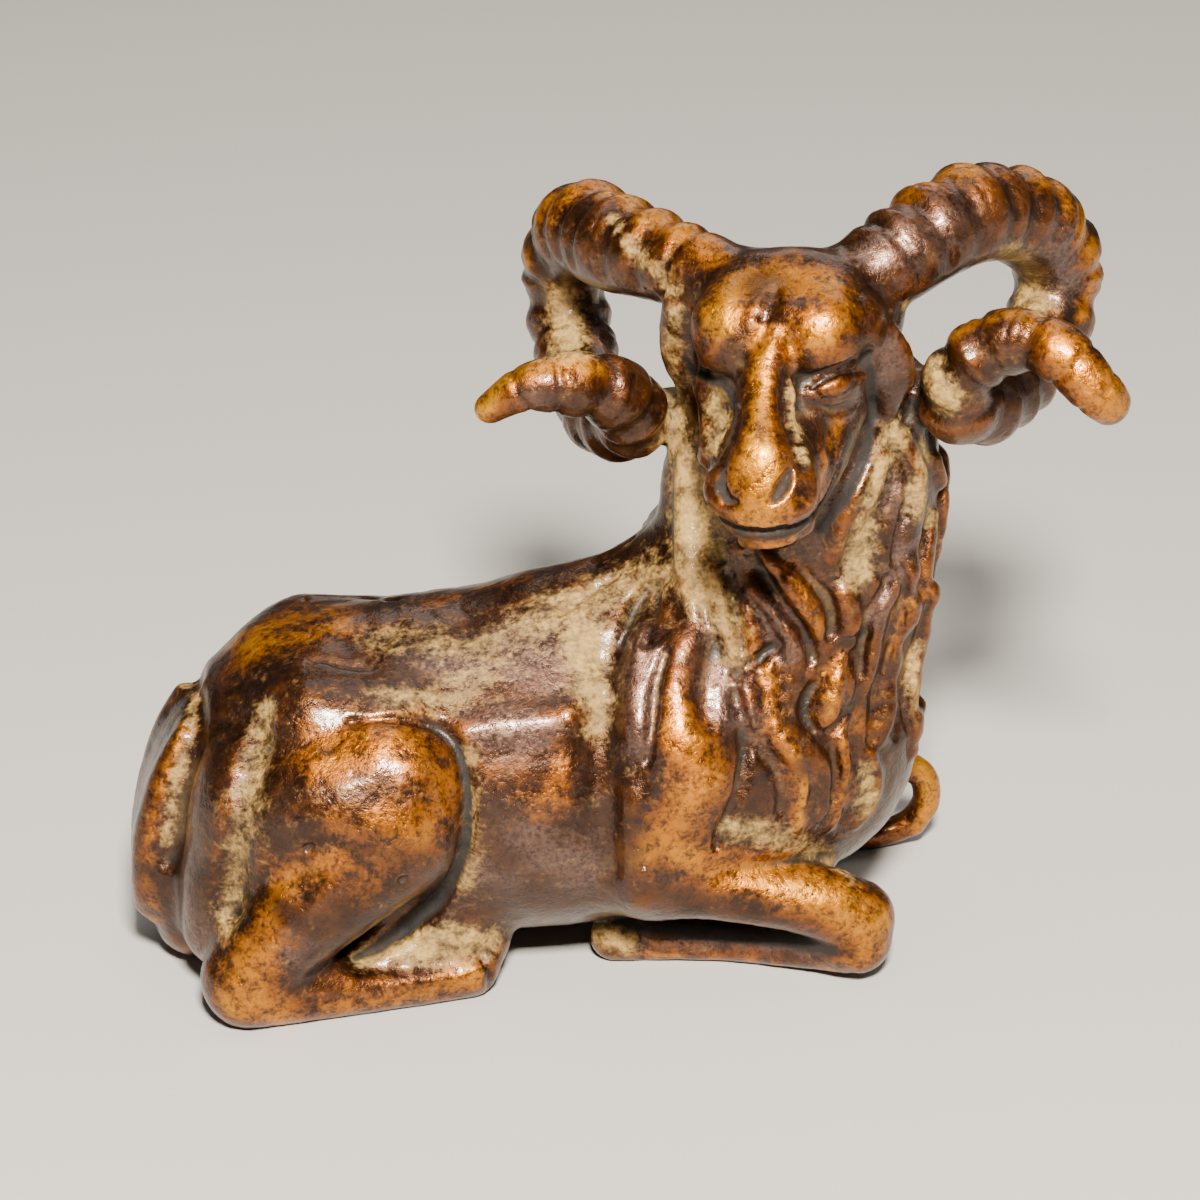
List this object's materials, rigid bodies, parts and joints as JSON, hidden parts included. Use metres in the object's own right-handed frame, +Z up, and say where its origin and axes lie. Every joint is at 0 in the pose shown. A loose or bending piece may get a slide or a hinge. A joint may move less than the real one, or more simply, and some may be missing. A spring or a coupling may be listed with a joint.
{
  "type": "goat figurine",
  "caption": "Cast bronze recumbent goat with its head turned back, long wavy beard and mane, and two curled, ringed horns.",
  "frame": {"origin": "on the ground, under the middle of the figure's bounding box", "axes": "+X from the rump to the chest, along the body; +Y to the goat's left, away from the side that its face turns to; +Z up"},
  "size_m": [0.0992, 0.0538, 0.081],
  "materials": {
    "bronze": "cast bronze with a rubbed amber-brown patina and khaki dust in its recesses"
  },
  "bodies": {
    "root": {"goat_figurine": "bronze"}
  },
  "joints": []
}
